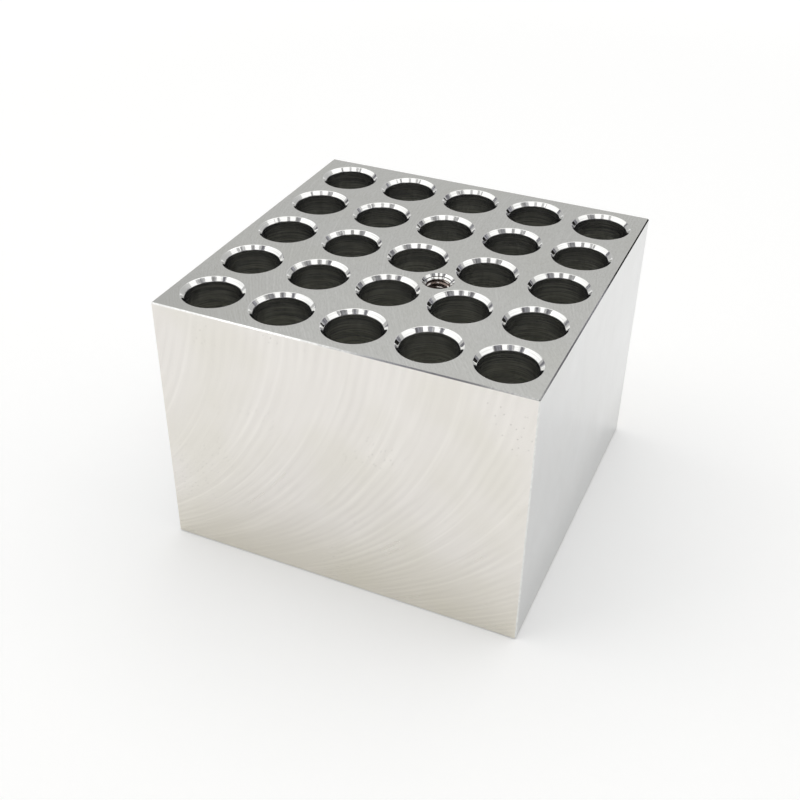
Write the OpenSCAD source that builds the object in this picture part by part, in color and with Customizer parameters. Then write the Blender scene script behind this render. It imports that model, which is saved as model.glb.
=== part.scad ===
// Heat block insert: one machined aluminium block with a grid of blind tube wells
// and one tapped hole for a lifting handle.
// Millimetres, Z up, origin at the middle of the base.

/* [Block] */
// Width, left to right
block_w = 95; // [60:1:160]
// Depth, front to back
block_d = 95; // [60:1:160]
// Height
block_h = 70; // [40:1:120]
// Bevel broken along every outer edge
edge_break = 0.3; // [0.1:0.1:1.5]

/* [Wells] */
// Bore of each well, a slip fit on the tube it holds
well_d = 13.6; // [8:0.1:20]
// Bevel around the mouth of each well
well_bevel = 1; // [0.2:0.1:2]
// Metal between the mouths of neighbouring wells
well_land = 2.9; // [1.5:0.1:8]
// Least metal between an outer mouth and the side of the block
rim_land = 2; // [1:0.1:8]
// Metal left under the drilled point of each well
well_floor = 6; // [2:0.5:20]

/* [Lifting hole] */
// Tapping drill of the hole that takes the handle's screw
tap_drill_d = 5; // [3:0.1:6]
// Depth drilled at full diameter
tap_depth = 20; // [8:1:30]
// Bevel around its mouth, out past the crests of the thread
tap_bevel = 1.5; // [0.5:0.1:1.7]

/* [Drill] */
// Included angle of the drill points
point_angle = 118; // [90:1:140]

/* [Hidden] */
well_mouth_d = well_d + 2 * well_bevel;
well_pitch = well_mouth_d + well_land;
well_cols = wells_across(block_w);
well_rows = wells_across(block_d);
well_wall_z = well_floor + point_h(well_d);

// The lifting hole takes the land beside the middle of the grid, to the right and to the front
tap_x = well_cols % 2 * well_pitch / 2;
tap_y = -well_rows % 2 * well_pitch / 2;
tap_wall_z = block_h - tap_depth;

overcut = 1;
$fn = 96;

// How many wells fit side by side in a length
function wells_across(length) = 1 + floor((length - 2 * rim_land - well_mouth_d) / well_pitch);

// Places of that many wells, centred on the origin
function well_places(count) = [for (i = [0 : count - 1]) (i - (count - 1) / 2) * well_pitch];

// Height of the cone that a drill leaves at the end of its hole
function point_h(d) = d / 2 / tan(point_angle / 2);

// Rectangle with a bevel at each corner
module beveled_outline(w, h) {
    x = w / 2;
    y = h / 2;
    b = edge_break;
    polygon([
        [b - x, -y], [x - b, -y], [x, b - y], [x, y - b],
        [x - b, y], [b - x, y], [-x, y - b], [-x, b - y]
    ]);
}

// The sawn and milled blank: the plan, front and side outlines meet, which bevels all twelve edges
module blank() {
    translate([0, 0, block_h / 2])
        intersection() {
            linear_extrude(block_h, center = true) beveled_outline(block_w, block_d);
            rotate([90, 0, 0]) linear_extrude(block_d, center = true) beveled_outline(block_w, block_h);
            rotate([90, 0, 90]) linear_extrude(block_w, center = true) beveled_outline(block_d, block_h);
        }
}

// Space that a drill and its bevelling cutter leave: point, straight wall from wall_z up, mouth
module drilled_hole(d, bevel, wall_z) {
    r = d / 2;
    rotate_extrude()
        polygon([
            [0, wall_z - point_h(d)],
            [r, wall_z],
            [r, block_h - bevel],
            [r + bevel + overcut, block_h + overcut],
            [0, block_h + overcut]
        ]);
}

module wells() {
    for (x = well_places(well_cols), y = well_places(well_rows))
        translate([x, y, 0]) drilled_hole(well_d, well_bevel, well_wall_z);
}

module lifting_hole() {
    translate([tap_x, tap_y, 0]) drilled_hole(tap_drill_d, tap_bevel, tap_wall_z);
}

module heat_block() {
    color([0.75, 0.75, 0.74])
        difference() {
            blank();
            wells();
            lifting_hole();
        }
}

heat_block();
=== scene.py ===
import math

import bmesh
import bpy
from mathutils import Matrix, Vector


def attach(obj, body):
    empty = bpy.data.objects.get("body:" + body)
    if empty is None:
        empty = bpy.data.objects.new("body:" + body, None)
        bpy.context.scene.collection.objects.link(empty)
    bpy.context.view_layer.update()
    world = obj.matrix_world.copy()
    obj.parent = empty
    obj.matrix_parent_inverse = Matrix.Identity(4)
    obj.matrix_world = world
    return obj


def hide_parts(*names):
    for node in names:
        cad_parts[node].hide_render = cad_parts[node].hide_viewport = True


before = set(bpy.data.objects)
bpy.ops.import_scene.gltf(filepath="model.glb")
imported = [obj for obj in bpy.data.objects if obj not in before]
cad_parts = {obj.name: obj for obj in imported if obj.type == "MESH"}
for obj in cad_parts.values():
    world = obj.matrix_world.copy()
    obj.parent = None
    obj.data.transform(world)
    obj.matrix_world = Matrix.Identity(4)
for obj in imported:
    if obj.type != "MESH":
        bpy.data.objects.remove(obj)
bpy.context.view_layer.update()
mm = 0.001


def toLinear(hexColour):
    # an sRGB hex such as "#c8c6c0" as linear RGBA
    parts = [int(hexColour[k:k + 2], 16) / 255 for k in (1, 3, 5)]
    return [p / 12.92 if p <= 0.04045 else ((p + 0.055) / 1.055) ** 2.4 for p in parts] + [1.0]


def addNode(tree, kind, settings=None, links=None):
    # settings: a node's attribute by name, or a socket's value by name or number; links: socket to output
    node = tree.nodes.new(kind)
    for name, value in (settings or {}).items():
        if isinstance(name, str) and hasattr(node, name):
            setattr(node, name, value)
        else:
            node.inputs[name].default_value = value
    for name, output in (links or {}).items():
        tree.links.new(output, node.inputs[name])
    return node


def startMaterial(name):
    # an empty material, its tree and the place on the object
    material = bpy.data.materials.new(name)
    material.use_nodes = True
    tree = material.node_tree
    tree.nodes.clear()
    coordinates = addNode(tree, "ShaderNodeTexCoord")
    return material, tree, coordinates.outputs["Object"]


def layTones(tree, level, dark, light, layers=()):
    # a tone between dark and light, and over it each layer as (share, colour)
    tone = addNode(tree, "ShaderNodeMix", {"data_type": "RGBA", 6: toLinear(dark), 7: toLinear(light)},
                   {0: level})
    for share, colour in layers:
        tone = addNode(tree, "ShaderNodeMix", {"data_type": "RGBA", 7: toLinear(colour)},
                       {0: share, 6: tone.outputs[2]})
    return tone.outputs[2]


# camera

cameraValues = {
    "azimuth": 23.3178,      # degrees from the front, towards the right
    "elevation": 34.68,
    "roll": 0.95374,
    "aim": (-2.0243 * mm, -5.2751 * mm, 29.1568 * mm),
    "distance": 297.917 * mm,
    "lens": 49.8443,
    "sensor": 36.0,
    "clipStart": 10 * mm,
}


def skyDirection(azimuth, elevation):
    # azimuth in degrees from the front (-Y) towards the right (+X)
    side = math.radians(azimuth)
    rise = math.radians(elevation)
    return Vector((math.sin(side) * math.cos(rise), -math.cos(side) * math.cos(rise), math.sin(rise)))


def placeCamera(values):
    away = skyDirection(values["azimuth"], values["elevation"])
    camera = bpy.data.objects.new("studioCamera", bpy.data.cameras.new("studioCamera"))
    camera.data.lens = values["lens"]
    camera.data.sensor_width = values["sensor"]
    camera.data.clip_start = values["clipStart"]
    turn = (-away).to_track_quat("-Z", "Y").to_matrix().to_4x4()
    roll = Matrix.Rotation(math.radians(values["roll"]), 4, "Z")
    place = Matrix.Translation(Vector(values["aim"]) + away * values["distance"])
    camera.matrix_world = place @ turn @ roll
    bpy.context.scene.collection.objects.link(camera)
    bpy.context.scene.camera = camera


placeCamera(cameraValues)
print("camera placed")


# room: floor, softboxes, the grey room behind them

floorValues = {
    "half": 5.0,
    "sink": 0.02 * mm,       # under the block's base, so that the two never share a plane
    "colour": "#f2f2f1",
    "glow": 0.2,             # the part of its white that no shadow takes away
    "farGlow": 0.75,         # far from the block, where the lamps fade, it stays white as well
    "near": 0.35,
    "far": 1.6,
}


def layFloor(values):
    half = values["half"]
    corners = [(-half, -half), (half, -half), (half, half), (-half, half)]
    mesh = bpy.data.meshes.new("paperFloor")
    mesh.from_pydata([(x, y, -values["sink"]) for x, y in corners], [], [(0, 1, 2, 3)])
    floor = bpy.data.objects.new("paperFloor", mesh)
    bpy.context.scene.collection.objects.link(floor)
    paper, tree, place = startMaterial("pale seamless paper")
    # camera, metal and glass all see it nearly white, and the block's shadow still darkens it
    sheet = addNode(tree, "ShaderNodeBsdfDiffuse", {"Color": toLinear(values["colour"])})
    path = addNode(tree, "ShaderNodeLightPath")
    mirrored = addNode(tree, "ShaderNodeMath", {"operation": "MAXIMUM"},
                       {0: path.outputs["Is Glossy Ray"], 1: path.outputs["Is Transmission Ray"]})
    seen = addNode(tree, "ShaderNodeMath", {"operation": "MAXIMUM"},
                   {0: path.outputs["Is Camera Ray"], 1: mirrored.outputs[0]})
    reach = addNode(tree, "ShaderNodeVectorMath", {"operation": "LENGTH"}, {0: place})
    white = addNode(tree, "ShaderNodeMapRange", {
        "interpolation_type": "SMOOTHSTEP",
        "From Min": values["near"],
        "From Max": values["far"],
        "To Min": values["glow"],
        "To Max": values["farGlow"],
    }, {"Value": reach.outputs["Value"]})
    share = addNode(tree, "ShaderNodeMath", {"operation": "MULTIPLY"},
                    {0: seen.outputs[0], 1: white.outputs[0]})
    glow = addNode(tree, "ShaderNodeEmission", {"Color": (1, 1, 1, 1)}, {"Strength": share.outputs[0]})
    both = addNode(tree, "ShaderNodeAddShader", None, {0: sheet.outputs[0], 1: glow.outputs[0]})
    addNode(tree, "ShaderNodeOutputMaterial", None, {"Surface": both.outputs[0]})
    mesh.materials.append(paper)


roomValues = {
    # elevation in degrees and brightness, from the white horizon up the grey wall
    "wall": [(4, 1.0), (9, 0.57), (24, 0.57), (34, 0.66), (50, 0.75)],
    # the unlit side of the room, behind the camera
    "darkSide": 0.22,
    "darkWest": (-38, -33),
    "darkEast": (78, 88),
    "darkLow": (9, 15),
    "darkHigh": (53, 56),
    # a duller patch of the wall beyond the left softbox
    "dull": 0.72,
    "dullAzimuth": (-151, -139),
    "dullEnd": (-120, -112),
    "dullElevation": (23, 31),
}


def roomPatch(tree, edges):
    # 1 inside the patch, fading to 0 over each of its edges
    patch = None
    for angle, (start, end), (before, after) in edges:
        edge = addNode(tree, "ShaderNodeMapRange", {
            "interpolation_type": "SMOOTHSTEP",
            "From Min": start,
            "From Max": end,
            "To Min": before,
            "To Max": after,
        }, {"Value": angle.outputs[0]})
        if patch:
            patch = addNode(tree, "ShaderNodeMath", {"operation": "MULTIPLY"},
                            {0: patch.outputs[0], 1: edge.outputs[0]})
        else:
            patch = edge
    return patch


def paintRoom(values):
    room = bpy.data.worlds.new("studioRoom")
    room.use_nodes = True
    tree = room.node_tree
    tree.nodes.clear()
    place = addNode(tree, "ShaderNodeTexCoord")
    split = addNode(tree, "ShaderNodeSeparateXYZ", None, {0: place.outputs["Generated"]})
    rise = addNode(tree, "ShaderNodeMath", {"operation": "ARCSINE"}, {0: split.outputs["Z"]})
    elevation = addNode(tree, "ShaderNodeMath", {"operation": "DEGREES"}, {0: rise.outputs[0]})
    front = addNode(tree, "ShaderNodeMath", {"operation": "MULTIPLY", 1: -1.0}, {0: split.outputs["Y"]})
    turn = addNode(tree, "ShaderNodeMath", {"operation": "ARCTAN2"},
                   {0: split.outputs["X"], 1: front.outputs[0]})
    azimuth = addNode(tree, "ShaderNodeMath", {"operation": "DEGREES"}, {0: turn.outputs[0]})
    level = None
    for (low, before), (high, after) in zip(values["wall"], values["wall"][1:]):
        step = addNode(tree, "ShaderNodeMapRange", {
            "interpolation_type": "SMOOTHSTEP",
            "From Min": low,
            "From Max": high,
            "To Min": 0.0 if level else before,
            "To Max": after - before if level else after,
        }, {"Value": elevation.outputs[0]})
        if level:
            level = addNode(tree, "ShaderNodeMath", {"operation": "ADD"},
                            {0: level.outputs[0], 1: step.outputs[0]})
        else:
            level = step
    dark = roomPatch(tree, [
        (azimuth, values["darkWest"], (0.0, 1.0)),
        (azimuth, values["darkEast"], (1.0, 0.0)),
        (elevation, values["darkLow"], (0.0, 1.0)),
        (elevation, values["darkHigh"], (1.0, 0.0)),
    ])
    dull = roomPatch(tree, [
        (azimuth, values["dullAzimuth"], (0.0, 1.0)),
        (azimuth, values["dullEnd"], (1.0, 0.0)),
        (elevation, values["dullElevation"], (0.0, 1.0)),
    ])
    duller = addNode(tree, "ShaderNodeMapRange", {"To Min": 1.0, "To Max": values["dull"]},
                     {"Value": dull.outputs[0]})
    level = addNode(tree, "ShaderNodeMath", {"operation": "MULTIPLY"},
                    {0: level.outputs[0], 1: duller.outputs[0]})
    strength = addNode(tree, "ShaderNodeMix", {"data_type": "FLOAT", 3: values["darkSide"]},
                       {0: dark.outputs[0], 2: level.outputs[0]})
    glow = addNode(tree, "ShaderNodeBackground", {"Color": (1, 1, 1, 1)}, {"Strength": strength.outputs[0]})
    addNode(tree, "ShaderNodeOutputWorld", None, {"Surface": glow.outputs[0]})
    bpy.context.scene.world = room


# the lamps and the cards hang around this point
roomMiddle = Vector((0, 0, 60 * mm))
softboxDistance = 1.6

softboxValues = {
    # azimuth, elevation, width, height, radiance on top of the wall behind it
    "leftSoftbox": (-77, 35, 1.61, 1.17, 0.58),
    "rightSoftbox": (110, 41, 0.98, 0.80, 0.5),
}
overheadValues = {
    "height": 1.5,
    "left": -1.0,
    "right": 1.0,
    "front": -1.08,
    "back": 1.3,
    "radiance": 0.55,
}


def hangPanel(name, middle, turn, width, height, radiance):
    lamp = bpy.data.lights.new(name, "AREA")
    lamp.shape = "RECTANGLE"
    lamp.size = width
    lamp.size_y = height
    lamp.energy = radiance * math.pi * width * height
    panel = bpy.data.objects.new(name, lamp)
    panel.matrix_world = Matrix.Translation(middle) @ turn
    panel.visible_camera = False
    bpy.context.scene.collection.objects.link(panel)


def hangSoftboxes(boxes, overhead):
    for name, (azimuth, elevation, width, height, radiance) in boxes.items():
        away = skyDirection(azimuth, elevation)
        turn = (-away).to_track_quat("-Z", "Y").to_matrix().to_4x4()
        hangPanel(name, roomMiddle + away * softboxDistance, turn, width, height, radiance)
    middle = Vector((
        (overhead["left"] + overhead["right"]) / 2,
        (overhead["front"] + overhead["back"]) / 2,
        overhead["height"],
    ))
    width = overhead["right"] - overhead["left"]
    depth = overhead["back"] - overhead["front"]
    hangPanel("overheadSoftbox", middle, Matrix.Identity(4), width, depth, overhead["radiance"])


cardValues = {
    "distance": 1.0,
    "steps": 8,              # faces along each side of a card
    # painted light and shade of each cloth's folds: the cards are flat, so the lit and shaded side of every
    # fold is painted
    "cloths": {
        "felt": ("#bcbcc4", "#7c7a80"),
        "velvet": ("#2c2a29", "#1c1b1b"),
        "canvas": ("#c2c2c6", "#9c9ca0"),
        "scrim": ("#cfcfd2", "#b2b1b2"),
        "gauze": ("#e6e6e8", "#cbcbcc"),
        "muslin": ("#fafafb", "#e8e8ea"),
    },
    "fold": 90 * mm,
    "foldStart": 0.38,
    "foldFull": 0.62,
    # the unlit gaps between the softboxes: corners as azimuth and elevation, low ones first
    "cards": {
        "leftGapLow": ("felt", (-31, 47), (-18, 47), (-18, 51), (-34, 51)),
        "leftGapHigh": ("felt", (-37, 51), (-20, 51), (-22, 56.5), (-40, 56.5)),
        "leftGapWest": ("scrim", (-50, 52.5), (-37, 52.5), (-40, 59.5), (-54, 59.5)),
        "leftGapTop": ("scrim", (-40, 56.5), (-22, 56.5), (-23, 61), (-38, 61)),
        "leftGapPeak": ("muslin", (-40, 61), (-26, 61), (-25, 72), (-40, 72)),
        "leftGapEast": ("gauze", (-21, 55.5), (-16, 55.5), (-13, 60), (-22, 60)),
        "cameraCard": ("felt", (12, 45), (27, 45), (26, 60.5), (12, 60.5)),
        "cameraWest": ("gauze", (2, 56), (12, 56), (12, 62), (5, 62)),
        "cameraEast": ("scrim", (27, 56), (32, 56), (31, 61), (26, 61)),
        "cameraTop": ("scrim", (8, 60.5), (30, 60.5), (28, 65.5), (9, 65.5)),
        "cameraHigh": ("muslin", (8, 65.5), (28, 65.5), (26, 77), (10, 77)),
        "rightGapCard": ("felt", (50, 45), (79, 45), (84, 54), (52, 54)),
        "rightGapTop": ("canvas", (50, 54), (86, 54), (90, 59.5), (54, 59.5)),
        "rightGapHigh": ("gauze", (62, 59.5), (75, 59.5), (76, 63), (66, 63)),
        "rightGapPeak": ("scrim", (77, 59.5), (89, 59.5), (89, 72), (80, 72)),
        "rightGapEast": ("scrim", (84, 49.5), (97, 49.5), (99, 57), (87, 57)),
        "rightGapFar": ("gauze", (97, 50), (108, 50), (106, 56), (99, 56)),
        "leftEndCard": ("felt", (-124, 2), (-117, 2), (-108, 30), (-116, 30)),
        "rightEndLow": ("felt", (140, 4), (149, 4), (149, 15), (142, 15)),
        "rightEndCard": ("velvet", (149, 4), (168, 4), (164, 15), (149, 15)),
        "rightEndUpper": ("felt", (142, 15), (158, 15), (146, 34), (138, 34)),
    },
}


def dyeClothsWithPaintedFolds(values):
    cloths = {}
    for kind, (lit, shaded) in values["cloths"].items():
        cloth, tree, place = startMaterial(kind + " card")
        # painted fold shade: a noise mixes each cloth's lit and shaded tone
        paintedFolds = addNode(tree, "ShaderNodeTexNoise", {"Scale": 1 / values["fold"], "Detail": 1.0},
                        {"Vector": place})
        share = addNode(tree, "ShaderNodeMapRange",
                        {"From Min": values["foldStart"], "From Max": values["foldFull"]},
                        {"Value": paintedFolds.outputs["Fac"]})
        tone = layTones(tree, share.outputs[0], shaded, lit)
        matt = addNode(tree, "ShaderNodeBsdfDiffuse", None, {"Color": tone})
        addNode(tree, "ShaderNodeOutputMaterial", None, {"Surface": matt.outputs[0]})
        cloths[kind] = cloth
    return cloths


def standCards(values):
    # only the metal sees the cards: they cast no shadow and no light
    cloths = dyeClothsWithPaintedFolds(values)
    steps = values["steps"]
    for name, (kind, lowLeft, lowRight, highRight, highLeft) in values["cards"].items():
        points = []
        for row in range(steps + 1):
            left = Vector(lowLeft).lerp(Vector(highLeft), row / steps)
            right = Vector(lowRight).lerp(Vector(highRight), row / steps)
            for column in range(steps + 1):
                azimuth, elevation = left.lerp(right, column / steps)
                points.append(tuple(skyDirection(azimuth, elevation) * values["distance"]))
        faces = []
        for row in range(steps):
            for column in range(steps):
                first = row * (steps + 1) + column
                faces.append((first, first + 1, first + steps + 2, first + steps + 1))
        mesh = bpy.data.meshes.new(name)
        mesh.from_pydata(points, [], faces)
        mesh.materials.append(cloths[kind])
        card = bpy.data.objects.new(name, mesh)
        card.location = roomMiddle
        card.visible_camera = False
        card.visible_shadow = False
        card.visible_diffuse = False
        bpy.context.scene.collection.objects.link(card)


layFloor(floorValues)
paintRoom(roomValues)
hangSoftboxes(softboxValues, overheadValues)
standCards(cardValues)
print("room and softboxes set")


# finishes of the block

blockSide = 95 * mm
blockHeight = 70 * mm
tapMiddle = (9.25 * mm, -9.25 * mm)

# the flat faces, each swept by one round cutter: radius, centre and bow place its arcs in the face's own
# two directions, marks (broad ones first) and bright lines are (width, length, share of the tone)
flyCutValues = {
    "across": "X",
    "upward": "Z",
    "light": "#f4f1ed",
    "dark": "#dad6d1",
    "stain": "#d9d6c8",
    "stainShare": 0.3,
    "filmAndShade": "#c9c4b0",       # painted shade towards the base, darker and warmer
    "filmAndShadeShare": 0.42,
    "filmAndShadeHeight": 24 * mm,
    "roughness": 0.24,
    "roughSpread": 0.04,
    "directed": 0.3,
    "radius": 88 * mm,
    "centre": 81 * mm,
    "bow": 1,
    "marks": [(3.4 * mm, 60 * mm, 0.26), (1.5 * mm, 44 * mm, 0.26), (0.6 * mm, 18 * mm, 0.07)],
    "clouds": (13 * mm, 0.28),
    "feed": (2.6 * mm, 0.12),    # the real feed is too fine to draw
    "calm": 0.55,            # what is left of the marks towards the top, where the cut is lighter
    "brightLines": (1.1 * mm, 60 * mm, 0.18),
    "pits": (0.24 * mm, 0.38),
    "rub": 0.25,
    "relief": 0.004 * mm,
    "middle": (0, blockHeight / 2),
    "half": (blockSide / 2, blockHeight / 2),
}
faceMilledValues = {
    "across": "Y",
    "upward": "Z",
    "light": "#dfe0e0",
    "dark": "#cccccc",
    "stain": "#cdcdca",
    "stainShare": 0.2,
    # painted shade towards the base
    "filmAndShade": "#b4b5b4",
    "filmAndShadeShare": 0.62,
    "filmAndShadeHeight": 24 * mm,
    "roughness": 0.16,
    "roughSpread": 0.03,
    "directed": 0.2,
    "radius": 120 * mm,
    "centre": 100 * mm,
    "bow": -1,
    "marks": [(2.6 * mm, 30 * mm, 0.12), (0.7 * mm, 9 * mm, 0.1)],
    "clouds": (8 * mm, 0.4),
    "feed": (1.5 * mm, 0.02),
    "brightLines": (0.9 * mm, 26 * mm, 0.03),
    "pits": (0.14 * mm, 0.3),
    "rub": 0.1,
    "relief": 0.002 * mm,
    "middle": (0, blockHeight / 2),
    "half": (blockSide / 2, blockHeight / 2),
}
fineMilledValues = {
    "across": "X",
    "upward": "Y",
    "light": "#ededea",
    "dark": "#d1d1cc",
    "stain": "#dcdcd2",
    "stainShare": 0.2,
    "roughness": 0.2,
    "roughSpread": 0.05,
    "directed": 0.3,
    "radius": 140 * mm,
    "centre": 40 * mm,
    "bow": -1,
    "marks": [(3.0 * mm, 25 * mm, 0.14), (0.9 * mm, 4 * mm, 0.3), (0.4 * mm, 1.4 * mm, 0.6)],
    "clouds": (9 * mm, 0.4),
    "feed": (0.9 * mm, 0.06),
    "brightLines": (0.9 * mm, 26 * mm, 0.12),
    "pits": (0.14 * mm, 0.3),
    "rub": 0.4,
    "relief": 0.006 * mm,
    "middle": (0, 0),
    "half": (blockSide / 2, blockSide / 2),
}
baseValues = {
    "across": "X",
    "upward": "Y",
    "light": "#dededa",
    "dark": "#bfbfba",
    "stain": "#c8c6b8",
    "stainShare": 0.3,
    "filmAndShade": "#bab6a6",
    "filmAndShadeShare": 0.3,
    "filmAndShadeHeight": 60 * mm,
    "roughness": 0.3,
    "roughSpread": 0.08,
    "directed": 0.3,
    "radius": 260 * mm,
    "centre": 0,
    "bow": 1,
    "marks": [(4.0 * mm, 60 * mm, 0.6), (1.0 * mm, 30 * mm, 0.7)],
    "clouds": (15 * mm, 0.6),
    "feed": (2.5 * mm, 0.12),
    "brightLines": (0.9 * mm, 26 * mm, 0.35),
    "pits": (0.2 * mm, 0.6),
    "rub": 0.55,
    "relief": 0.015 * mm,
    "middle": (0, 0),
    "half": (blockSide / 2, blockSide / 2),
}
# the same on all of them: a noise begins to show at its Start and is at full strength at its Full
sweepValues = {
    "bandScale": 0.31416,    # scale of a wave texture with one band per unit
    "patch": 18 * mm,        # patches in which the feed shows
    "patchStart": 0.4,
    "patchFull": 0.62,
    "lineStart": 0.66,
    "lineFull": 0.8,
    "calmStart": 0.35,       # parts of the way up the face
    "calmFull": 0.75,
    "stainSize": 24 * mm,
    "stainStart": 0.42,
    "stainFull": 0.68,
    "frayed": 1.6 * mm,      # how quickly the rubbed border grows wide and narrow
    "frayedStart": 0.35,
    "frayedFull": 0.7,
    "rubNarrow": 0.25 * mm,
    "rubWide": 1.3 * mm,
    "rubPolish": -0.1,
    "pitSpacing": 2.6 * mm,
    "pitFloor": 0.4,         # part of a pit's radius
    "pitTone": "#8f8a82",
    "pitGroup": 14 * mm,
    "groupStart": 0.56,
    "groupFull": 0.66,
    "sheenStart": 0.3,
    "sheenFull": 0.7,
}


def bareMetal(tree, tone, dull, bump, directed=0.0, tangent=None):
    # a reflection spreads along the tangent, as far as directed says
    links = {"Base Color": tone, "Roughness": dull.outputs[0], "Normal": bump.outputs["Normal"]}
    if tangent:
        links["Tangent"] = tangent
    metal = addNode(tree, "ShaderNodeBsdfPrincipled", {"Metallic": 1.0, "Anisotropic": directed}, links)
    addNode(tree, "ShaderNodeOutputMaterial", None, {"Surface": metal.outputs[0]})


def sweepPath(tree, across, upward, values):
    # the cutter's arcs rolled out straight, and the direction across its grooves, which spread a
    # reflection that way and not along them
    radius = values["radius"]
    drop = addNode(tree, "ShaderNodeMath", {"operation": "SUBTRACT", 1: values["centre"]}, {0: upward})
    squared = addNode(tree, "ShaderNodeMath", {"operation": "MULTIPLY"},
                      {0: drop.outputs[0], 1: drop.outputs[0]})
    rest = addNode(tree, "ShaderNodeMath", {"operation": "SUBTRACT", 0: radius ** 2},
                   {1: squared.outputs[0]})
    reach = addNode(tree, "ShaderNodeMath", {"operation": "SQRT"}, {0: rest.outputs[0]})
    lane = addNode(tree, "ShaderNodeMath", {"operation": "MULTIPLY_ADD", 1: -values["bow"]},
                   {0: reach.outputs[0], 2: across})
    lean = addNode(tree, "ShaderNodeMath", {"operation": "DIVIDE", 1: radius}, {0: drop.outputs[0]})
    turn = addNode(tree, "ShaderNodeMath", {"operation": "ARCSINE"}, {0: lean.outputs[0]})
    arc = addNode(tree, "ShaderNodeMath", {"operation": "MULTIPLY", 1: radius}, {0: turn.outputs[0]})
    path = addNode(tree, "ShaderNodeCombineXYZ", None, {"X": lane.outputs[0], "Y": arc.outputs[0]})
    lift = addNode(tree, "ShaderNodeMath", {"operation": "MULTIPLY", 1: values["bow"]},
                   {0: drop.outputs[0]})
    sideways = addNode(tree, "ShaderNodeCombineXYZ", None,
                       {values["across"]: reach.outputs[0], values["upward"]: lift.outputs[0]})
    return path.outputs[0], sideways.outputs[0]


def stretchedNoise(tree, path, width, length, settings):
    # a noise drawn out along the cutter's path
    stretched = addNode(tree, "ShaderNodeVectorMath",
                        {"operation": "MULTIPLY", 1: (1 / width, 1 / length, 1.0)}, {0: path})
    noise = addNode(tree, "ShaderNodeTexNoise",
                    {"noise_dimensions": "2D", "Scale": 1.0, **settings}, {"Vector": stretched.outputs[0]})
    return noise.outputs["Fac"]


def cutTone(tree, place, path, upward, values):
    # 0 for the darkest marks to 1 for the brightest, and the finest marks by themselves
    cloudSize, cloudShare = values["clouds"]
    clouds = addNode(tree, "ShaderNodeTexNoise", {"Scale": 1 / cloudSize, "Detail": 2.0},
                     {"Vector": place})
    total = cloudShare + sum(share for width, length, share in values["marks"])
    level = addNode(tree, "ShaderNodeMath",
                    {"operation": "MULTIPLY_ADD", 1: cloudShare, 2: 0.5 - total / 2},
                    {0: clouds.outputs["Fac"]})
    for width, length, share in values["marks"]:
        marks = stretchedNoise(tree, path, width, length, {"Detail": 1.5, "Roughness": 0.6})
        level = addNode(tree, "ShaderNodeMath", {"operation": "MULTIPLY_ADD", 1: share},
                        {0: marks, 2: level.outputs[0]})
    # steps of the feed, uneven, and seen only in patches
    feedStep, feedShare = values["feed"]
    feed = addNode(tree, "ShaderNodeTexWave", {
        "wave_type": "BANDS",
        "bands_direction": "X",
        "Scale": values["bandScale"] / feedStep,
        "Distortion": 2.5,
        "Detail": 2.0,
        "Detail Scale": 0.6,
    }, {"Vector": path})
    feedLevel = addNode(tree, "ShaderNodeMapRange", {"To Min": -feedShare, "To Max": feedShare},
                        {"Value": feed.outputs["Fac"]})
    patches = addNode(tree, "ShaderNodeTexNoise", {"Scale": 1 / values["patch"], "Detail": 1.0},
                      {"Vector": place})
    patchy = addNode(tree, "ShaderNodeMapRange",
                     {"From Min": values["patchStart"], "From Max": values["patchFull"]},
                     {"Value": patches.outputs["Fac"]})
    level = addNode(tree, "ShaderNodeMath", {"operation": "MULTIPLY_ADD"},
                    {0: feedLevel.outputs[0], 1: patchy.outputs[0], 2: level.outputs[0]})
    # a few passes shine as thin bright lines
    width, length, share = values["brightLines"]
    sparse = stretchedNoise(tree, path, width, length, {"Detail": 0.0})
    bright = addNode(tree, "ShaderNodeMapRange", {
        "From Min": values["lineStart"],
        "From Max": values["lineFull"],
        "To Max": share,
    }, {"Value": sparse})
    level = addNode(tree, "ShaderNodeMath", {"operation": "ADD"},
                    {0: level.outputs[0], 1: bright.outputs[0]})
    if "calm" in values:
        low = values["middle"][1] - values["half"][1]
        height = 2 * values["half"][1]
        calm = addNode(tree, "ShaderNodeMapRange", {
            "interpolation_type": "SMOOTHSTEP",
            "From Min": low + height * values["calmStart"],
            "From Max": low + height * values["calmFull"],
            "To Min": 1.0,
            "To Max": values["calm"],
        }, {"Value": upward})
        level = addNode(tree, "ShaderNodeMath", {"operation": "SUBTRACT", 1: 0.5}, {0: level.outputs[0]})
        level = addNode(tree, "ShaderNodeMath", {"operation": "MULTIPLY_ADD", 2: 0.5},
                        {0: level.outputs[0], 1: calm.outputs[0]})
    return level.outputs[0], marks


def rubbedBorder(tree, place, across, upward, values):
    # 1 at the edges of the face, 0 about a millimetre in, with a frayed limit
    borders = []
    for axis, middle, half in zip((across, upward), values["middle"], values["half"]):
        shifted = addNode(tree, "ShaderNodeMath", {"operation": "SUBTRACT", 1: middle}, {0: axis})
        size = addNode(tree, "ShaderNodeMath", {"operation": "ABSOLUTE"}, {0: shifted.outputs[0]})
        borders.append(addNode(tree, "ShaderNodeMath", {"operation": "SUBTRACT", 0: half},
                               {1: size.outputs[0]}))
    nearest = addNode(tree, "ShaderNodeMath", {"operation": "MINIMUM"},
                      {0: borders[0].outputs[0], 1: borders[1].outputs[0]})
    frayed = addNode(tree, "ShaderNodeTexNoise", {"Scale": 1 / values["frayed"], "Detail": 3.0},
                     {"Vector": place})
    width = addNode(tree, "ShaderNodeMapRange", {
        "From Min": values["frayedStart"],
        "From Max": values["frayedFull"],
        "To Min": values["rubNarrow"],
        "To Max": values["rubWide"],
    }, {"Value": frayed.outputs["Fac"]})
    rubbed = addNode(tree, "ShaderNodeMapRange", {"To Min": 1.0, "To Max": 0.0},
                     {"Value": nearest.outputs[0], "From Max": width.outputs[0]})
    return rubbed.outputs[0]


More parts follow.
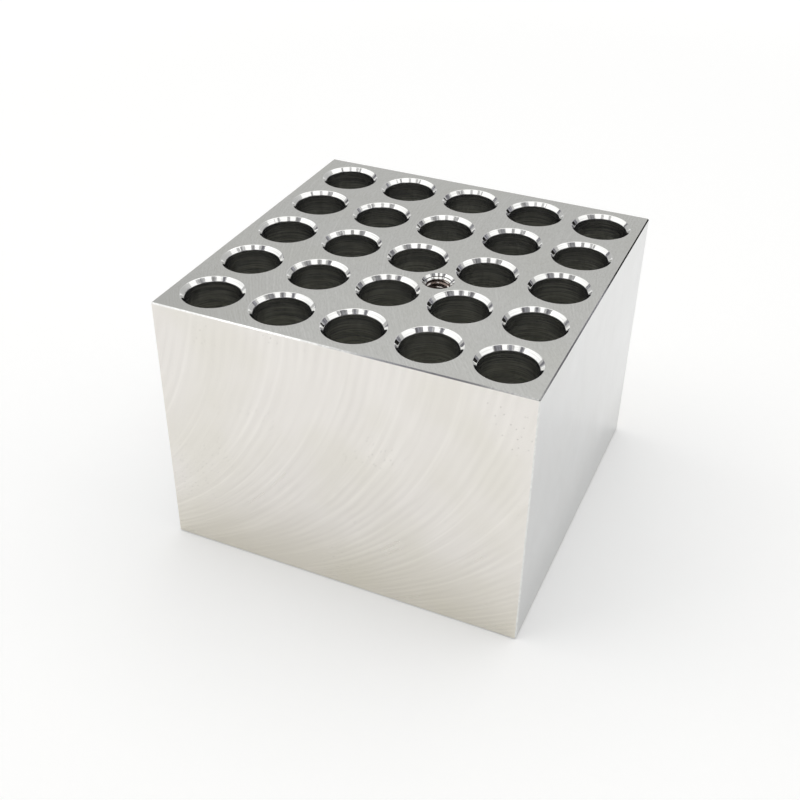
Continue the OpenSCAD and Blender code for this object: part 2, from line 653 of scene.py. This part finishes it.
def loosePits(tree, place, path, values):
    # pits in loose groups, 1 on the floor of each
    spacing = values["pitSpacing"]
    radius = values["pits"][0] / spacing
    cells = addNode(tree, "ShaderNodeTexVoronoi", {"voronoi_dimensions": "2D", "Scale": 1 / spacing},
                    {"Vector": path})
    pit = addNode(tree, "ShaderNodeMapRange", {
        "From Min": radius * values["pitFloor"],
        "From Max": radius,
        "To Min": 1.0,
        "To Max": 0.0,
    }, {"Value": cells.outputs["Distance"]})
    groups = addNode(tree, "ShaderNodeTexNoise", {"Scale": 1 / values["pitGroup"], "Detail": 2.0},
                     {"Vector": place})
    grouped = addNode(tree, "ShaderNodeMapRange",
                      {"From Min": values["groupStart"], "From Max": values["groupFull"]},
                      {"Value": groups.outputs["Fac"]})
    pits = addNode(tree, "ShaderNodeMath", {"operation": "MULTIPLY"},
                   {0: pit.outputs[0], 1: grouped.outputs[0]})
    return pits.outputs[0]


def sweptFinish(name, faceValues):
    # a flat face of aluminium under one wide cutter: every mark is an arc that fades along its length,
    # the passes differ a little in tone, and pits and rubbed borders break them up
    values = {**sweepValues, **faceValues}
    finish, tree, place = startMaterial(name)
    split = addNode(tree, "ShaderNodeSeparateXYZ", None, {0: place})
    across = split.outputs[values["across"]]
    upward = split.outputs[values["upward"]]
    path, sideways = sweepPath(tree, across, upward, values)
    level, finest = cutTone(tree, place, path, upward, values)
    rubbed = rubbedBorder(tree, place, across, upward, values)
    stains = addNode(tree, "ShaderNodeTexNoise", {"Scale": 1 / values["stainSize"], "Detail": 2.0},
                     {"Vector": place})
    stained = addNode(tree, "ShaderNodeMapRange", {
        "From Min": values["stainStart"],
        "From Max": values["stainFull"],
        "To Max": values["stainShare"],
    }, {"Value": stains.outputs["Fac"]})
    layers = [(stained.outputs[0], values["stain"])]
    # a tone that darkens the face towards its low end: painted shade on the sides of the block
    if "filmAndShade" in values:
        low = values["middle"][1] - values["half"][1]
        filmAndShade = addNode(tree, "ShaderNodeMapRange", {
            "interpolation_type": "SMOOTHSTEP",
            "From Min": low,
            "From Max": low + values["filmAndShadeHeight"],
            "To Min": values["filmAndShadeShare"],
            "To Max": 0.0,
        }, {"Value": upward})
        layers.append((filmAndShade.outputs[0], values["filmAndShade"]))
    rubShare = addNode(tree, "ShaderNodeMath", {"operation": "MULTIPLY", 1: values["rub"]}, {0: rubbed})
    layers.append((rubShare.outputs[0], values["light"]))
    pitShare = addNode(tree, "ShaderNodeMath", {"operation": "MULTIPLY", 1: values["pits"][1]},
                       {0: loosePits(tree, place, path, values)})
    layers.append((pitShare.outputs[0], values["pitTone"]))
    tone = layTones(tree, level, values["dark"], values["light"], layers)
    dull = addNode(tree, "ShaderNodeMapRange", {
        "From Min": values["sheenStart"],
        "From Max": values["sheenFull"],
        "To Min": values["roughness"] + values["roughSpread"],
        "To Max": values["roughness"] - values["roughSpread"],
    }, {"Value": level})
    dull = addNode(tree, "ShaderNodeMath",
                   {"operation": "MULTIPLY_ADD", 1: values["rubPolish"] * values["rub"]},
                   {0: rubbed, 2: dull.outputs[0]})
    bump = addNode(tree, "ShaderNodeBump", {"Strength": 1.0, "Distance": values["relief"]},
                   {"Height": finest})
    bareMetal(tree, tone, dull, bump, values["directed"], sideways)
    return finish


# the round surfaces, cut by a tool that turns in the hole: rings as (height, length round the hole)
bevelValues = {
    "light": "#f0f0ee",
    "dark": "#dededb",
    "roughness": 0.06,
    "roughSpread": 0.015,
    "directed": 0.2,
    "rings": (0.22 * mm, 9 * mm),
    "ringRelief": 0.0006 * mm,
    "chatter": 1.6 * mm,
    "chatterRelief": 0.006 * mm,
    "scratches": 0.1,
}
boreValues = {
    "light": "#d4d4d2",
    # darker than the outer faces: painted shade inside the wells
    "dark": "#8c8c90",
    "roughness": 0.24,
    "roughSpread": 0.04,
    "deepTone": "#d3d3c9",   # only the mouth is reamed, below it the wall is as drilled
    "deepRoughness": 0.9,
    "deepStart": 63 * mm,
    "deepEnd": 57 * mm,
    "directed": 0.3,
    "rings": (0.26 * mm, 12 * mm),
    "ringRelief": 0.0045 * mm,
    "chatter": 4.0 * mm,
    "chatterRelief": 0.004 * mm,
    "scratches": 0.3,
}
threadValues = {
    "light": "#857770",
    # dark brown: painted shade in the tapped hole
    "dark": "#463c38",
    "roughness": 0.22,
    "roughSpread": 0.06,
    "directed": 0.2,
    "rings": (0.3 * mm, 2 * mm),
    "ringRelief": 0.002 * mm,
    "chatter": 0.8 * mm,
    "chatterRelief": 0.004 * mm,
    "scratches": 0.2,
    # painted highlights on the crests, in spots, as distance from the axis of the tap
    "axis": tapMiddle,
    "crest": "#f2ece8",
    "crestStart": 2.9 * mm,
    "crestEnd": 2.72 * mm,
    "spots": 1.3 * mm,
    "spotStart": 0.5,
    "spotFull": 0.62,
}
# the same in all of them
turnValues = {
    "ringStart": 0.32,
    "ringFull": 0.68,
    "scratchSlant": 0.45,    # millimetres down for each one along
    "scratchLength": 7 * mm,
    "scratchWidth": 0.28 * mm,
    "scratchStart": 0.68,
    "scratchFull": 0.78,
    "scratchTone": "#dcdcd6",
}


def longScratches(tree, split, values):
    # thin slanting lines, few and far apart
    slant = values["scratchSlant"]
    rise = addNode(tree, "ShaderNodeMath", {"operation": "MULTIPLY_ADD", 1: slant},
                   {0: split.outputs["X"], 2: split.outputs["Z"]})
    slide = addNode(tree, "ShaderNodeMath", {"operation": "MULTIPLY_ADD", 1: -slant},
                    {0: split.outputs["Z"], 2: split.outputs["X"]})
    slanted = addNode(tree, "ShaderNodeCombineXYZ", None, {
        "X": slide.outputs[0],
        "Y": split.outputs["Y"],
        "Z": rise.outputs[0],
    })
    along = 1 / values["scratchLength"]
    drawn = addNode(tree, "ShaderNodeVectorMath",
                    {"operation": "MULTIPLY", 1: (along, along, 1 / values["scratchWidth"])},
                    {0: slanted.outputs[0]})
    lines = addNode(tree, "ShaderNodeTexNoise", {"Scale": 1.0, "Detail": 0.0},
                    {"Vector": drawn.outputs[0]})
    scratches = addNode(tree, "ShaderNodeMapRange", {
        "From Min": values["scratchStart"],
        "From Max": values["scratchFull"],
        "To Max": values["scratches"],
    }, {"Value": lines.outputs["Fac"]})
    return scratches.outputs[0]


def crestGlintSpots(tree, place, values):
    # 1 on the parts of the thread nearest to its axis, in spots, where highlights are painted
    middle = values["axis"]
    spot = addNode(tree, "ShaderNodeVectorMath",
                   {"operation": "SUBTRACT", 1: (middle[0], middle[1], 0)}, {0: place})
    flat = addNode(tree, "ShaderNodeVectorMath", {"operation": "MULTIPLY", 1: (1, 1, 0)},
                   {0: spot.outputs[0]})
    reach = addNode(tree, "ShaderNodeVectorMath", {"operation": "LENGTH"}, {0: flat.outputs[0]})
    crests = addNode(tree, "ShaderNodeMapRange", {
        "interpolation_type": "SMOOTHSTEP",
        "From Min": values["crestEnd"],
        "From Max": values["crestStart"],
        "To Min": 1.0,
        "To Max": 0.0,
    }, {"Value": reach.outputs["Value"]})
    patches = addNode(tree, "ShaderNodeTexNoise", {"Scale": 1 / values["spots"], "Detail": 0.0},
                      {"Vector": place})
    spots = addNode(tree, "ShaderNodeMapRange",
                    {"From Min": values["spotStart"], "From Max": values["spotFull"]},
                    {"Value": patches.outputs["Fac"]})
    glintSpots = addNode(tree, "ShaderNodeMath", {"operation": "MULTIPLY"},
                   {0: crests.outputs[0], 1: spots.outputs[0]})
    return glintSpots.outputs[0]


def turnedFinish(name, holeValues):
    # a hole turned in aluminium: fine rings round it, waves where the tool chattered, a few long
    # scratches from the tubes that go in and out
    values = {**turnValues, **holeValues}
    finish, tree, place = startMaterial(name)
    ringHeight, ringLength = values["rings"]
    squeezed = addNode(tree, "ShaderNodeVectorMath",
                       {"operation": "MULTIPLY", 1: (1 / ringLength, 1 / ringLength, 1 / ringHeight)},
                       {0: place})
    rings = addNode(tree, "ShaderNodeTexNoise", {"Scale": 1.0, "Detail": 2.0, "Roughness": 0.6},
                    {"Vector": squeezed.outputs[0]})
    waves = addNode(tree, "ShaderNodeTexNoise", {"Scale": 1 / values["chatter"], "Detail": 1.0},
                    {"Vector": place})
    split = addNode(tree, "ShaderNodeSeparateXYZ", None, {0: place})
    level = addNode(tree, "ShaderNodeMapRange",
                    {"From Min": values["ringStart"], "From Max": values["ringFull"]},
                    {"Value": rings.outputs["Fac"]})
    dull = addNode(tree, "ShaderNodeMapRange", {
        "To Min": values["roughness"] + values["roughSpread"],
        "To Max": values["roughness"] - values["roughSpread"],
    }, {"Value": level.outputs[0]})
    layers = [(longScratches(tree, split, values), values["scratchTone"])]
    if "deepTone" in values:
        deep = addNode(tree, "ShaderNodeMapRange", {
            "interpolation_type": "SMOOTHSTEP",
            "From Min": values["deepEnd"],
            "From Max": values["deepStart"],
            "To Min": 1.0,
            "To Max": 0.0,
        }, {"Value": split.outputs["Z"]})
        dull = addNode(tree, "ShaderNodeMix", {"data_type": "FLOAT", 3: values["deepRoughness"]},
                       {0: deep.outputs[0], 2: dull.outputs[0]})
        layers.append((deep.outputs[0], values["deepTone"]))
    if "crest" in values:
        layers.append((crestGlintSpots(tree, place, values), values["crest"]))
    tone = layTones(tree, level.outputs[0], values["dark"], values["light"], layers)
    ringBump = addNode(tree, "ShaderNodeBump", {"Distance": values["ringRelief"]},
                       {"Height": rings.outputs["Fac"]})
    bump = addNode(tree, "ShaderNodeBump", {"Distance": values["chatterRelief"]},
                   {"Height": waves.outputs["Fac"], "Normal": ringBump.outputs["Normal"]})
    # rings spread a reflection up and down the wall
    upright = addNode(tree, "ShaderNodeCombineXYZ", {"Z": 1.0})
    bareMetal(tree, tone, dull, bump, values["directed"], upright.outputs[0])
    return finish


edgeValues = {
    "light": "#e9e9e7",
    "dark": "#d6d6d4",
    "roughness": 0.1,
    "roughSpread": 0.03,
    "strokes": 0.5 * mm,
    "strokeStart": 0.35,
    "strokeFull": 0.65,
    "strokeRelief": 0.5,     # as part of the nicks'
    "nicks": 1.4 * mm,
    "nickStart": 0.66,
    "nickFull": 0.76,
    "relief": 0.0008 * mm,
    "contactShade": "#8f8d88",      # painted shade along the edges that the block stands on
    "contactShadeStart": 0.25 * mm,
    "contactShadeEnd": 0.45 * mm,
}


def filedFinish(name, values):
    # edges broken by a file: short bright strokes across them, with nicks and small burrs
    finish, tree, place = startMaterial(name)
    strokes = addNode(tree, "ShaderNodeTexNoise",
                      {"Scale": 1 / values["strokes"], "Detail": 2.0, "Roughness": 0.6},
                      {"Vector": place})
    nicks = addNode(tree, "ShaderNodeTexNoise", {"Scale": 1 / values["nicks"], "Detail": 2.0},
                    {"Vector": place})
    nicked = addNode(tree, "ShaderNodeMapRange",
                     {"From Min": values["nickStart"], "From Max": values["nickFull"]},
                     {"Value": nicks.outputs["Fac"]})
    level = addNode(tree, "ShaderNodeMapRange",
                    {"From Min": values["strokeStart"], "From Max": values["strokeFull"]},
                    {"Value": strokes.outputs["Fac"]})
    level = addNode(tree, "ShaderNodeMath", {"operation": "SUBTRACT", "use_clamp": True},
                    {0: level.outputs[0], 1: nicked.outputs[0]})
    dull = addNode(tree, "ShaderNodeMapRange", {
        "To Min": values["roughness"] + values["roughSpread"],
        "To Max": values["roughness"] - values["roughSpread"],
    }, {"Value": level.outputs[0]})
    split = addNode(tree, "ShaderNodeSeparateXYZ", None, {0: place})
    # painted shade near the base, where the block stands
    contactShaded = addNode(tree, "ShaderNodeMapRange", {
        "From Min": values["contactShadeStart"],
        "From Max": values["contactShadeEnd"],
        "To Min": 1.0,
        "To Max": 0.0,
    }, {"Value": split.outputs["Z"]})
    tone = layTones(tree, level.outputs[0], values["dark"], values["light"],
                    [(contactShaded.outputs[0], values["contactShade"])])
    height = addNode(tree, "ShaderNodeMath", {"operation": "MULTIPLY_ADD", 1: values["strokeRelief"]},
                     {0: strokes.outputs["Fac"], 2: nicks.outputs["Fac"]})
    bump = addNode(tree, "ShaderNodeBump", {"Distance": values["relief"]}, {"Height": height.outputs[0]})
    bareMetal(tree, tone, dull, bump)
    return finish


finishes = {
    # grey satin with short sparkling strokes
    "top": sweptFinish("fine-milled aluminium", fineMilledValues),
    # warm silk with long soft arcs, with painted shade towards the base
    "frontBack": sweptFinish("fly-cut aluminium", flyCutValues),
    # nearly plain and cool, a soft mirror, with painted shade towards the base
    "leftRight": sweptFinish("face-milled aluminium", faceMilledValues),
    # duller and more worn than the rest
    "base": sweptFinish("milled base", baseValues),
    # thin bright and dark lines that outline the block
    "edge": filedFinish("filed edge", edgeValues),
    # a clear mirror of the room round every well
    "bevel": turnedFinish("turned bevel", bevelValues),
    # dark walls with fine rings, the dark tone painted shade inside the wells
    "bore": turnedFinish("reamed bore", boreValues),
    # dark brown, painted shade in the tapped hole, with painted highlights in spots on the crests
    "thread": turnedFinish("darkened cut thread", threadValues),
}
finishNames = list(finishes)
print("finishes made")


# heat block

blockValues = {
    "side": blockSide,
    "height": blockHeight,
    "edgeBreak": 0.3 * mm,
    "wellRadius": 6.8 * mm,
    "wellBevel": 1.0 * mm,
    "bevelAngle": 45,
    "wellFloor": 6.0 * mm,
    "wellPitch": 18.5 * mm,
    "wellsAcross": 5,
    "lip": 0.22 * mm,        # radius that takes the sharp edge off the mouth
    "lipSteps": 5,
    "apron": 0.1 * mm,       # flat ring around each mouth
    "ringGap": 0.06 * mm,    # rings this close to both ends keep the bevel's shading straight
    "throat": 0.03 * mm,     # the bevel ends in a nearly sharp edge
    "throatBand": 0.6 * mm,
    "wallRings": (0.1, 0.3, 0.6),    # parts of the way down the wall
    "segments": 96,
    "tapMiddle": tapMiddle,
    # countersink in two steps, as radius, depth and finish of the band below, with a groove between them
    "tapMouth": [
        (4.0 * mm, 0.0, "bevel"),
        # the groove between the steps takes the thread's dark finish: painted shade
        (3.46 * mm, 0.54 * mm, "thread"),
        (3.42 * mm, 0.74 * mm, "bevel"),
        (3.0 * mm, 1.08 * mm, "thread"),
    ],
    "tapRadius": 2.5 * mm,
    "threadRadius": 3.0 * mm,
    "threadPitch": 1.0 * mm,
    "threadStart": 0.5,      # part of a turn
    "rootFlat": 0.05,        # flat root and sloping flank, as parts of half a pitch
    "flank": 0.9,
    "runIn": 0.6 * mm,       # the first crest grows out of the countersink
    "runOut": 1.5 * mm,      # and the last one fades above the plain end of the hole
    "plainEnd": 0.5 * mm,
    "tapDepth": 20.0 * mm,
    "tapSegments": 64,
    "rowsPerTurn": 14,
    "pointAngle": 118,
    "sharpAngle": 25,        # edges that turn more than this are shaded sharp
}


def wellProfile(values):
    # (radius, height, finish of the band below) from the top face down to the drill point
    top = values["height"]
    wall = values["wellRadius"]
    mouth = wall + values["wellBevel"]
    throat = top - values["wellBevel"]
    lip = values["lip"]
    bevelAngle = math.radians(values["bevelAngle"])
    reach = lip * math.tan(bevelAngle / 2)
    profile = [(mouth + reach + values["apron"], top, "top")]
    for k in range(values["lipSteps"] + 1):
        angle = bevelAngle * k / values["lipSteps"]
        profile.append((
            mouth + reach - lip * math.sin(angle),
            top - lip * (1 - math.cos(angle)),
            "bevel",
        ))
    gap = values["ringGap"]
    soft = values["throat"]
    profile += [
        (mouth - reach - gap, top - reach - gap, "bevel"),
        (wall + 2 * gap, throat + 2 * gap, "bevel"),
        (wall + soft, throat + soft, "bore"),
        (wall, throat - soft, "bore"),
        (wall, throat - values["throatBand"], "bore"),
    ]
    wallEnd = values["wellFloor"] + wall / math.tan(math.radians(values["pointAngle"] / 2))
    for share in values["wallRings"]:
        profile.append((wall, throat + (wallEnd - throat) * share, "bore"))
    profile += [(wall, wallEnd, "bore"), (0.0, values["wellFloor"], "bore")]
    return profile


def ringOf(mesh, middle, height, widths):
    # one vertex for each width, evenly round the middle
    ring = []
    for k, width in enumerate(widths):
        angle = 2 * math.pi * k / len(widths)
        ring.append(mesh.verts.new((
            middle[0] + width * math.cos(angle),
            middle[1] + width * math.sin(angle),
            height,
        )))
    return ring


def skinHole(mesh, rings, names):
    # a band below each ring, and a fan down to the point at the end
    for upper, lower, name in zip(rings, rings[1:], names):
        for k in range(len(upper)):
            after = (k + 1) % len(upper)
            corners = [upper[k], upper[after], lower[0]]
            if len(lower) > 1:
                corners = [upper[k], upper[after], lower[after], lower[k]]
            mesh.faces.new(corners).material_index = finishNames.index(name)
    return rings[0]


def turnHole(mesh, middle, profile, segments):
    rings = []
    for radius, height, _ in profile:
        rings.append(ringOf(mesh, middle, height, [radius] * (segments if radius else 1)))
    return skinHole(mesh, rings, [name for _, _, name in profile])


def threadWidth(values, start, height, angle):
    # radius of a right-hand thread, with one smooth flank between each root and the next crest
    turn = (height / values["threadPitch"] - angle / (2 * math.pi) + values["threadStart"]) % 1.0
    away = abs(turn - 0.5) * 2
    flank = min(1.0, max(0.0, (away - values["rootFlat"]) / values["flank"]))
    flank = flank * flank * (3 - 2 * flank)
    end = values["height"] - values["tapDepth"]
    fade = min(1.0, max(0.0, (height - end - values["plainEnd"]) / values["runOut"]))
    crest = (values["threadRadius"] - values["tapRadius"]) * (1 - (1 - flank) * fade)
    return values["threadRadius"] - crest * min(1.0, (start - height) / values["runIn"])


def tapHole(mesh, values):
    # countersink, thread and drill point as one skin on a fine grid
    top = values["height"]
    end = top - values["tapDepth"]
    middle = values["tapMiddle"]
    segments = values["tapSegments"]
    rings = [ringOf(mesh, middle, top, [values["tapMouth"][0][0] + values["apron"]] * segments)]
    names = ["top"]
    for radius, depth, name in values["tapMouth"]:
        rings.append(ringOf(mesh, middle, top - depth, [radius] * segments))
        names.append(name)
    start = top - values["tapMouth"][-1][1]
    step = values["threadPitch"] / values["rowsPerTurn"]
    count = int((start - end) / step)
    for row in range(1, count + 1):
        height = start + (end - start) * row / count
        widths = [threadWidth(values, start, height, 2 * math.pi * k / segments) for k in range(segments)]
        rings.append(ringOf(mesh, middle, height, widths))
        names.append("thread")
    drop = values["tapRadius"] / math.tan(math.radians(values["pointAngle"] / 2))
    rings.append(ringOf(mesh, middle, end - drop, [0.0]))
    return skinHole(mesh, rings, names)


def loopEdges(mesh, ring):
    edges = []
    for k in range(len(ring)):
        pair = (ring[k], ring[(k + 1) % len(ring)])
        edges.append(mesh.edges.get(pair) or mesh.edges.new(pair))
    return edges


def blankShell(mesh, values):
    # base, sides and broken edges, and the ring of corners that the top face will fill
    half = values["side"] / 2
    flat = half - values["edgeBreak"]
    top = values["height"]
    shelf = top - values["edgeBreak"]
    foot = values["edgeBreak"]
    square = [(-1, -1), (1, -1), (1, 1), (-1, 1)]
    octagon = [
        (-flat, -half), (flat, -half), (half, -flat), (half, flat),
        (flat, half), (-flat, half), (-half, flat), (-half, -flat),
    ]
    topRing = [mesh.verts.new((x * flat, y * flat, top)) for x, y in square]
    upperRing = [mesh.verts.new((x, y, shelf)) for x, y in octagon]
    lowerRing = [mesh.verts.new((x, y, foot)) for x, y in octagon]
    baseRing = [mesh.verts.new((x * flat, y * flat, 0)) for x, y in square]
    for k, side in enumerate(("frontBack", "edge", "leftRight", "edge") * 2):
        after = (k + 1) % len(octagon)
        face = mesh.faces.new((lowerRing[k], lowerRing[after], upperRing[after], upperRing[k]))
        face.material_index = finishNames.index(side)
    for k in range(len(square)):
        after = (k + 1) % len(square)
        near, far = 2 * k, 2 * k + 1
        beyond = (far + 1) % len(octagon)
        faces = [
            (upperRing[near], upperRing[far], topRing[after], topRing[k]),
            (upperRing[far], upperRing[beyond], topRing[after]),
            (lowerRing[far], lowerRing[near], baseRing[k], baseRing[after]),
            (lowerRing[beyond], lowerRing[far], baseRing[after]),
        ]
        for corners in faces:
            mesh.faces.new(corners).material_index = finishNames.index("edge")
    mesh.faces.new(baseRing[::-1]).material_index = finishNames.index("base")
    return topRing


def fillTop(mesh, edges):
    # the top face, with the mouths of all the holes left open
    before = set(mesh.faces)
    bmesh.ops.triangle_fill(mesh, use_beauty=True, use_dissolve=False, edges=edges, normal=(0, 0, 1))
    for face in mesh.faces:
        if face not in before:
            face.material_index = finishNames.index("top")
            if face.normal.z < 0:
                face.normal_flip()
    mesh.normal_update()


def shadeEdges(mesh, sharpAngle):
    # smooth, and sharp only where a flat face or a bevel ends
    thread = finishNames.index("thread")
    for face in mesh.faces:
        face.smooth = True
    for edge in mesh.edges:
        inThread = all(face.material_index == thread for face in edge.link_faces)
        if len(edge.link_faces) == 2 and edge.calc_face_angle() > sharpAngle and not inThread:
            edge.smooth = False


def millBlock(values):
    mesh = bmesh.new()
    edges = loopEdges(mesh, blankShell(mesh, values))
    profile = wellProfile(values)
    count = values["wellsAcross"]
    places = [(k - (count - 1) / 2) * values["wellPitch"] for k in range(count)]
    for y in places:
        for x in places:
            edges += loopEdges(mesh, turnHole(mesh, (x, y), profile, values["segments"]))
    edges += loopEdges(mesh, tapHole(mesh, values))
    fillTop(mesh, edges)
    shadeEdges(mesh, math.radians(values["sharpAngle"]))
    skin = bpy.data.meshes.new("heatBlock")
    mesh.to_mesh(skin)
    mesh.free()
    for finish in finishes.values():
        skin.materials.append(finish)
    block = bpy.data.objects.new("heatBlock", skin)
    bpy.context.scene.collection.objects.link(block)
    return block


block = millBlock(blockValues)
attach(block, "root")
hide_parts("heat_block")
print("heat block milled:", len(block.data.polygons), "faces")

bpy.context.scene.view_settings.view_transform = "Standard"
